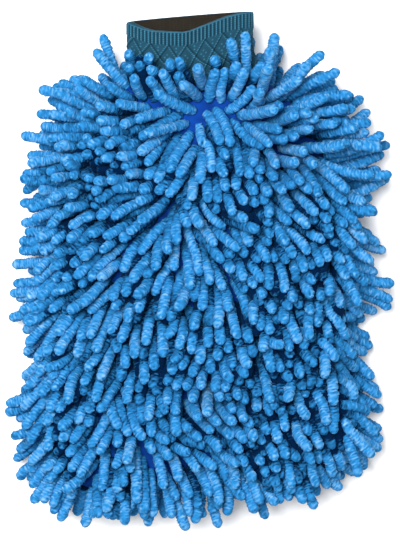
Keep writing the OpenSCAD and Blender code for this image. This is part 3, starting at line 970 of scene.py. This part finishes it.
    @staticmethod
    def curve(strands: np.ndarray, share: np.ndarray) -> tuple[np.ndarray, np.ndarray]:
        """Smooth curves through the noodles' points.

        Args:
            strands: the points of each noodle.
            share: where each new point is wanted, from 0 at the root to 1 at the end.

        Returns:
            The new points, and the direction of the curve at each.
        """
        m, count, _ = strands.shape
        tangent = np.gradient(strands, axis=1)
        at = np.clip(share * (count - 1), 0, count - 1 - 1e-9)
        k = at.astype(int)
        t = (at - k)[..., None]
        rows = np.arange(m)[:, None]
        p, q, a, b = strands[rows, k], strands[rows, k + 1], tangent[rows, k], tangent[rows, k + 1]
        here = (2 * t**3 - 3 * t**2 + 1) * p + (t**3 - 2 * t**2 + t) * a
        here = here + (3 * t**2 - 2 * t**3) * q + (t**3 - t**2) * b
        ahead = (6 * t**2 - 6 * t) * p + (3 * t**2 - 4 * t + 1) * a
        ahead = ahead + (6 * t - 6 * t**2) * q + (3 * t**2 - 2 * t) * b
        return here, unit(ahead)

    def build(self) -> None:
        """Makes every row and dresses it, and ties it to the body that it is sewn to, except the rows near the
        fold and the row at the mouth, which are baked in place.
        """
        names = np.array(self.rows)
        for name in sorted(set(self.rows)):
            members = np.flatnonzero(names == name)
            piece = self.mesh_row(name.replace("noodle_row", "pile"), members)
            dress(piece, CHENILLE, "chenille", name)
            reach = self.strands[members][..., 1] - self.bag.fold_y
            if np.abs(reach).min() < 18 * MM:
                self.bag.blend_at_fold(piece)
            elif name.endswith(f"palm_{CAD_PALM_ROWS}"):
                # The row at the mouth lies against the cuff, which pushes it over as it folds.
                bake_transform(piece)
            else:
                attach(piece, "palm" if "palm" in name else "fingers")
            log.info("%s: %d noodles", piece.name, len(members))


# ---- the bag -----------------------------------------------------------------------------


@dataclass
class Bag:
    """The sewn bag: its ground cloth, its lining and the overlocked allowance between them."""

    shape: BagShape
    cloth: float = 2 * MM
    lining: float = 0.8 * MM
    gap: float = 0.3 * MM
    allowance: float = 2.4 * MM
    allowance_thick: float = 1.6 * MM
    below_seam: float = 5.8 * MM  # from the cuff's inner end to the lining's edge
    loop_pitch: float = 2.2 * MM  # the overlock's loops, drawn wider than the real 1.5 mm so that they show

    def shell(self, name: str, inset: float, drop: float, thick: float, top_y: float) -> bpy.types.Object:
        """Makes both panels of one layer as a closed-tipped bag with thickness.

        Args:
            name: the piece's name.
            inset: how far the layer's outline lies inside the bag's.
            drop: how far the layer lies under the bag's crown.
            thick: the layer's thickness.
            top_y: where the layer ends, along Y from the mouth.

        Returns:
            The layer's object.
        """
        around = 96
        angle = np.linspace(0, 2 * np.pi, around, endpoint=False)[None]
        share = np.sin(np.linspace(0, np.pi / 2, 70))[::-1]
        skins = []
        for extra in (0.0, thick):
            low = self.shape.tip_y + inset + extra
            y = top_y - (top_y - low) * share
            y = np.sort(np.concatenate([y, np.linspace(low, top_y, 40)[1:-1]]))[:, None]
            skins.append(self.shape.ring(y, angle, inset + extra, drop + extra))
        rows = skins[0].shape[0]
        points = self.shape.skewed(np.concatenate(skins).reshape(-1, 3))
        outer = grid_faces(rows, around, True)
        inner = grid_faces(rows, around, True, rows * around)[:, ::-1]
        c = np.arange(around)
        edge, back = (rows - 1) * around + c, (2 * rows - 1) * around + c
        rim = np.stack([edge, np.roll(edge, -1), np.roll(back, -1), back], axis=-1)
        rng = np.random.default_rng(5)
        tint = np.clip(rng.normal(0.5, 0.08, len(points)), 0, 1)
        return make_mesh(name, points, [outer, inner, rim], tint)

    def build_cloth(self) -> None:
        """Makes the ground cloth, which the noodles are tufted through."""
        piece = self.shell("ground_cloth", 0.0, 0.0, self.cloth, 0.0)
        nodes = ("front_cloth_palm", "back_cloth_palm", "front_cloth_fingers", "back_cloth_fingers")
        dress(piece, GROUND_CLOTH, "ground_cloth", *nodes)
        self.shape.blend_at_fold(piece)

    def build_lining(self) -> None:
        """Makes the lining that the hand touches."""
        inset = self.cloth + self.gap + self.allowance + self.gap
        top_y = -self.shape.cuff_inset - self.below_seam
        piece = self.shell("lining", inset, self.cloth + self.gap, self.lining, top_y)
        names = [f"{side.name.lower()}_lining_{half}" for side in Side for half in ("palm", "fingers")]
        dress(piece, LINING_TRICOT, "lining", *names)
        self.shape.blend_at_fold(piece)

    def build_edge_seam(self) -> None:
        """Makes the seam allowance round the bag, with the overlock's loops as ridges across it."""
        near = self.cloth + self.gap
        far = near + self.allowance
        places = np.linspace(-self.shape.cuff_inset - 5 * MM, self.shape.tip_y + 30 * MM, 120)
        low = np.linspace(0, np.pi / 2, 60)

        def outline(inset: float) -> np.ndarray:
            """The right half of the outline, then the left, as one run of points in X and Y."""
            r = self.shape.corner - inset
            corner_y = self.shape.tip_y + self.shape.corner
            straight = places[places > corner_y]
            side = np.stack([self.shape.half_width(straight, inset), straight], axis=-1)
            middle = self.shape.width / 2 - self.shape.corner
            turn = np.stack([middle + r * np.cos(low), corner_y - r * np.sin(low)], axis=-1)
            flat = np.stack([np.linspace(middle, 0, 40)[1:], np.full(39, corner_y - r)], axis=-1)
            right = np.concatenate([side, turn, flat])
            return np.concatenate([right, (right * [-1, 1])[::-1][1:]])

        a, b = outline(near), outline(far)
        run = distance_along(a)
        fine = np.linspace(0, run[-1], int(run[-1] / (self.loop_pitch / 4)))
        a = np.stack([np.interp(fine, run, a[:, k]) for k in (0, 1)], axis=-1)
        b = np.stack([np.interp(fine, run, b[:, k]) for k in (0, 1)], axis=-1)
        loop = np.cos(2 * np.pi * fine / self.loop_pitch)
        corners = [(0.0, 0.6), (0.15, 1.0), (0.85, 1.0), (1.0, 0.6)]
        corners += [(across, -up) for across, up in corners[::-1]]
        lines = []
        for across, up in corners:
            flat_place = mix(a, b, across)
            high = up * self.allowance_thick / 2 * (0.86 + 0.14 * loop)
            x, y = flat_place[:, 0], flat_place[:, 1] + self.shape.mouth_y
            lines.append(self.shape.skewed(np.stack([x, y, self.shape.mid_z + high], axis=-1)))
        # The overlock's raised loops are painted paler, a painted highlight, and the dips between them darker,
        # a painted shade.
        piece = make_bar("edge_seam", lines, 0.5 + 0.3 * loop)
        dress(piece, OVERLOCK_THREAD, "overlock_thread", "edge_seam_palm", "edge_seam_fingers")
        self.shape.blend_at_fold(piece)

    def build(self) -> None:
        """Makes the bag's layers from the outside in."""
        self.build_cloth()
        self.build_edge_seam()
        self.build_lining()


# ---- the cuff ----------------------------------------------------------------------------


@dataclass
class Cuff:
    """The knitted wrist cuff: a ribbed welt over a lattice of crossing cable stitches."""

    bag: BagShape
    shape: CuffShape
    knit: float = 1.3 * MM
    welt: float = 7.8 * MM
    rib_pitch: float = 2.05 * MM
    stitch: float = 1.15 * MM
    diamond_width: float = 9.8 * MM
    diamond_height: float = 15 * MM
    cord: float = 0.42 * MM  # half the width of the lattice's raised lines and beads
    hem: float = 3.8 * MM  # how deep the hem's own face lies under the knit's skin
    elastic: float = 0.7 * MM
    gap: float = 0.3 * MM
    overlock: float = 1.2 * MM
    overlock_width: float = 2 * MM

    def girth(self) -> tuple[np.ndarray, np.ndarray]:
        """The distance round the cuff against the angle, starting at the right-hand side seam."""
        angle = np.linspace(0, 2 * np.pi, 2000)
        high = (self.shape.neck_height + self.shape.rim_height) / 4
        oval = np.stack([self.shape.width / 2 * np.cos(angle), high * np.sin(angle)], axis=-1)
        return angle, distance_along(oval)

    def relief(self, u: np.ndarray, v: np.ndarray) -> tuple[np.ndarray, np.ndarray]:
        """The knit's pattern.

        Args:
            u: distance round the cuff.
            v: distance down from the rim.

        Returns:
            How far the surface stands out from the knit's middle skin, and the tint there, which paints
            highlights on the raised stitches and shade in the grooves.
        """
        row = np.cos(2 * np.pi * v / self.stitch)
        # The welt is one rib up and one down. Each rib's stitches show as a line of raised dots. The raised
        # ribs and dots are painted paler, a painted highlight, and the sunk ribs darker, a painted shade.
        rib = np.cos(2 * np.pi * u / self.rib_pitch)
        rib_high = 0.34 * MM * rib + 0.06 * MM * row * (rib > 0)
        rib_tint = 0.42 + 0.30 * rib + 0.16 * row * np.clip(rib, 0, 1)
        # Plain stitches lie in columns under the lattice, painted paler where they stand up, a painted
        # highlight.
        plain_high = 0.05 * MM * np.cos(2 * np.pi * u / self.stitch) * row
        plain_tint = 0.46 + 0.05 * np.cos(2 * np.pi * u / self.stitch) * row
        down = v - self.welt
        a, b = u / self.diamond_width, down / self.diamond_height
        slope = 1 / math.hypot(1 / self.diamond_width, 1 / self.diamond_height)
        dots = 0.5 + 0.5 * np.cos(2 * np.pi * down / self.stitch)
        for way in (1, -1):
            off = a + way * b
            off = (off - np.round(off)) * slope
            cord = np.exp(-((off / self.cord) ** 2))
            groove = np.exp(-(((off + 0.85 * MM) / self.cord) ** 2))
            plain_high = plain_high + 0.26 * MM * cord * (0.5 + 0.5 * dots) - 0.26 * MM * groove
            # The raised cords are painted paler, a painted highlight, and the grooves beside them darker, a
            # painted shade.
            plain_tint = plain_tint + cord * (0.34 * dots) - 0.3 * groove
        # A small lozenge of purl stitches stands in the middle of each diamond.
        centre_u = (a - 0.5 - np.round(a - 0.5)) * self.diamond_width
        centre_v = (b - np.round(b)) * self.diamond_height
        other_u = (a - np.round(a)) * self.diamond_width
        other_v = (b - 0.5 - np.round(b - 0.5)) * self.diamond_height
        for du, dv in ((0, -1.7), (-1.3, 0), (1.3, 0), (0, 1.7), (0, 3.6)):
            for cu, cv in ((centre_u, centre_v), (other_u, other_v)):
                bead = np.exp(-(((cu - du * MM) ** 2 + (cv - dv * MM) ** 2) / self.cord**2))
                plain_high = plain_high + 0.2 * MM * bead
                # The raised beads are painted paler, a painted highlight.
                plain_tint = plain_tint + 0.3 * bead
        in_welt = smooth((self.welt - v) / (0.7 * MM) + 0.5)
        high, tint = mix(plain_high, rib_high, in_welt), mix(plain_tint, rib_tint, in_welt)
        # The last course turns over at the rim and shows as a plain edge, painted pale as a highlight.
        edge = smooth((0.6 * MM - v) / (0.4 * MM))
        return mix(high, 0.05 * MM, edge), mix(tint, 0.66, edge)

    def build_face(self) -> None:
        """Makes the knit's right side, from the seam up to the rim and over it."""
        angle, run = self.girth()
        ribs = round(run[-1] / self.rib_pitch)
        self.rib_pitch = run[-1] / ribs
        self.diamond_width = run[-1] / round(run[-1] / self.diamond_width)
        columns = ribs * 7
        u = np.arange(columns) / columns * run[-1]
        a = np.interp(u, run, angle)
        rim = self.shape.length
        down = np.linspace(rim + self.shape.inset, 0, 132)
        high, tint = self.relief(u[None, :], down[:, None])
        points = self.shape.place(self.bag, (rim - down)[:, None], a[None, :], -high)
        over, tints = [points], [tint]
        # The fold at the rim, then the hem that comes back down inside.
        for turned in np.radians([25, 55, 90, 125, 155, 180]):
            deep = self.hem / 2 * (1 - math.cos(turned))
            out = 0.6 * MM * math.sin(turned)
            over.append(self.shape.place(self.bag, np.full((1, 1), rim), a[None, :], np.full((1, 1), deep)))
            over[-1][..., 1] += out
            # The fold is painted darker as it turns in under the rim, a painted shade.
            tints.append(np.full((1, columns), 0.6 - 0.16 * turned))
        points = np.concatenate(over)
        faces = [grid_faces(len(points), columns, True)[:, ::-1]]
        piece = make_mesh("cuff_knit_face", points.reshape(-1, 3), faces, np.concatenate(tints).reshape(-1))
        dress(piece, CUFF_KNIT, "knit", "cuff_knit")
        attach(piece, "cuff")

    def build_inside(self) -> None:
        """Makes the knit's wrong side and the hem inside the welt, down to the seam."""
        angle, run = self.girth()
        columns = 360
        u = np.arange(columns) / columns * run[-1]
        a = np.interp(u, run, angle)
        welt, end = self.welt, self.shape.length + self.shape.inset
        # The hem's cut edge steps back to the single knit under the welt.
        step_at = [0, welt, welt + 0.6 * MM, welt + 0.8 * MM, end]
        step_deep = [self.hem, self.hem, self.hem - 0.5 * MM, 1.5 * MM, self.knit]
        edge = [welt + 0.4 * MM, welt + 0.6 * MM, welt + 0.8 * MM]
        down = np.concatenate([np.linspace(0, welt, 24), edge, np.linspace(welt + 1.2 * MM, end, 60)])
        deep = np.interp(down, step_at, step_deep)
        courses = np.cos(2 * np.pi * down / self.stitch)[:, None]
        wales = np.cos(2 * np.pi * u / self.rib_pitch)[None, :]
        high = 0.1 * MM * courses + 0.08 * MM * wales
        v = (self.shape.length - down)[:, None]
        points = self.shape.place(self.bag, v, a[None, :], deep[:, None] - high)
        # The raised courses are painted paler, a painted highlight.
        tint = 0.45 + 0.2 * courses * (0.5 + 0.5 * wales)
        faces = [grid_faces(len(down), columns, True)]
        piece = make_mesh("cuff_knit_inside", points.reshape(-1, 3), faces, tint.reshape(-1))
        # The wrong side takes the knit's colour painted darker and browner, a painted shade inside the cuff.
        dress(piece, CUFF_KNIT_INSIDE_PAINTED_SHADE, "knit", "cuff_knit")
        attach(piece, "cuff")

    def band(
        self, name: str, low: float, high: float, depth: float, thick: float, waves: int, finish: YarnFinish
    ) -> None:
        """Makes a closed band round the cuff, with ridges across it.

        Args:
            name: the piece's name and, without its last word, its CAD node's.
            low: its lower edge, along Y from the bag's mouth.
            high: its upper edge.
            depth: how deep its outer face lies under the cuff's skin.
            thick: its thickness.
            waves: how many ridges run round it.
            finish: its finish.
        """
        columns = waves * 6
        a = np.arange(columns) / columns * 2 * np.pi
        ridge = np.cos(a * waves)
        loop = [(low, 0.15), (mix(low, high, 0.12), 0.0), (mix(low, high, 0.88), 0.0), (high, 0.15)]
        loop += [(high, 0.85), (mix(low, high, 0.88), 1.0), (mix(low, high, 0.12), 1.0), (low, 0.85)]
        rings = []
        for v, share in loop:
            deep = depth + thick * (share + 0.08 * ridge * (1 if share < 0.5 else -1))
            rings.append(self.shape.place(self.bag, np.full(columns, v), a, deep))
        points = np.stack(rings)
        points = np.concatenate([points, points[:1]])
        # The ridges are painted paler, a painted highlight, and the dips between them darker, a painted shade.
        tint = np.repeat((0.5 + 0.3 * ridge)[None], len(points), axis=0)
        faces = [grid_faces(len(points), columns, True)]
        piece = make_mesh(name, points.reshape(-1, 3), faces, tint.reshape(-1))
        slot = "elastic" if finish is WOVEN_ELASTIC else "overlock_thread"
        dress(piece, finish, slot, name.rsplit("_", 1)[0])
        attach(piece, "cuff")

    def build_side_seam(self) -> None:
        """Makes the overlocked seam that closes the knit into a tube, inside it on the right."""
        low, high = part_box("cuff_side_seam")
        steps = int((high[1] - low[1]) / (0.35 * MM))
        v = np.linspace(low[1], high[1], steps) - self.bag.mouth_y
        loop = np.cos(2 * np.pi * v / (1.8 * MM))
        corners = [(0, -0.8), (0, 0.8), (0.3, 1), (0.8, 0.8), (1, 0.4), (1, -0.4), (0.8, -0.8), (0.3, -1)]
        lines = []
        for out, up in corners:
            x = high[0] - out * self.overlock * (0.88 + 0.12 * loop) + self.shape.shift(v)
            z = self.bag.mid_z + up * self.overlock_width / 2 * (0.9 + 0.1 * loop)
            lines.append(np.stack([x, v + self.bag.mouth_y, z], axis=-1))
        # The overlock's raised loops are painted paler, a painted highlight, and the dips between them darker,
        # a painted shade.
        piece = make_bar("cuff_side_seam_overlock", lines, 0.5 + 0.3 * loop)
        dress(piece, OVERLOCK_THREAD, "knit", "cuff_side_seam")
        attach(piece, "cuff")

    def build(self) -> None:
        """Makes the cuff's knit, its elastic and its seams."""
        self.build_face()
        self.build_inside()
        top = self.shape.length - 1.2 * MM
        low = top - self.welt + 2 * MM
        self.band("cuff_elastic_band", low, top, 1.75 * MM, self.elastic, 90, WOVEN_ELASTIC)
        neck = -self.shape.inset
        low = neck - self.overlock_width
        self.band("cuff_join_seam_overlock", low, neck, 0.1 * MM, self.overlock, 80, OVERLOCK_THREAD)
        self.build_side_seam()


# ---- the studio --------------------------------------------------------------------------


@dataclass
class Studio:
    """A plain pale floor, soft light from above and a camera that looks down on the front face."""

    distance: float = 1.25
    view_height: float = 299.2 * MM
    tilt: float = 4.0  # degrees, from straight down towards the cuff's end
    sensor: float = 24  # the height of the camera's sensor, in millimetres
    centre: tuple[float, float, float] = (0.5 * MM, 0.0, 30 * MM)

    def build_camera(self) -> None:
        """Places the camera."""
        data = bpy.data.cameras.new("camera")
        data.sensor_fit = "VERTICAL"
        data.sensor_height = self.sensor
        data.lens = self.sensor * self.distance / self.view_height
        data.clip_start, data.clip_end = 0.01, 20
        camera = bpy.data.objects.new("camera", data)
        lean = math.radians(self.tilt)
        x, y, z = self.centre
        camera.location = (x, y + self.distance * math.sin(lean), z + self.distance * math.cos(lean))
        camera.rotation_euler = (-lean, 0, 0)
        bpy.context.scene.collection.objects.link(camera)
        bpy.context.scene.camera = camera

    def build_floor(self) -> None:
        """Lays the floor: matt white backing paper."""
        points = np.array([[-4, -4, 0], [4, -4, 0], [4, 4, 0], [-4, 4, 0]], float)
        floor = make_mesh("floor", points, [np.array([[0, 1, 2, 3]])])
        paper = bpy.data.materials.new("matt_backing_paper")
        paper.use_nodes = True
        shader = paper.node_tree.nodes["Principled BSDF"]
        shader.inputs["Base Color"].default_value = linear("f4f4f4")
        shader.inputs["Roughness"].default_value = 0.95
        floor.data.materials.append(paper)

    def add_softbox(self, name: str, place: tuple[float, float, float], size: float, power: float) -> None:
        """Hangs a square softbox that faces the mitt.

        Args:
            name: the lamp's name.
            place: where it hangs.
            size: the length of its side.
            power: its power in watts.
        """
        data = bpy.data.lights.new(name, "AREA")
        data.shape, data.size, data.energy = "SQUARE", size, power
        lamp = bpy.data.objects.new(name, data)
        lamp.location = place
        away = np.array(place) - np.array(self.centre)
        flat = math.hypot(away[0], away[1])
        lamp.rotation_euler = (math.atan2(flat, away[2]), 0, math.atan2(away[1], away[0]) + math.pi / 2)
        bpy.context.scene.collection.objects.link(lamp)

    def build(self) -> None:
        """Sets up the floor, the lights and the colour of the room."""
        self.build_floor()
        self.add_softbox("key_softbox", (-0.3, 0.35, 1.5), 0.7, 50)
        self.add_softbox("fill_softbox", (0.9, -0.5, 1.3), 1.2, 6)
        world = bpy.data.worlds.new("room")
        world.use_nodes = True
        world.node_tree.nodes["Background"].inputs["Color"].default_value = linear("ffffff")
        world.node_tree.nodes["Background"].inputs["Strength"].default_value = 0.32
        bpy.context.scene.world = world
        bpy.context.scene.view_settings.view_transform = "Standard"


# ---- making the mitt ---------------------------------------------------------------------


def main() -> None:
    """Builds the mitt and its studio in order."""
    logging.basicConfig(level=logging.INFO, format="%(name)s %(message)s")
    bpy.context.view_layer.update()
    studio = Studio()
    studio.build_camera()
    bag_shape, cuff_shape = BagShape(), CuffShape()
    Bag(bag_shape).build()
    Cuff(bag_shape, cuff_shape).build()
    pile = Pile(bag_shape, cuff_shape)
    pile.stitch()
    pile.settle(150)
    pile.build()
    studio.build()


if __name__ == "__main__":
    main()
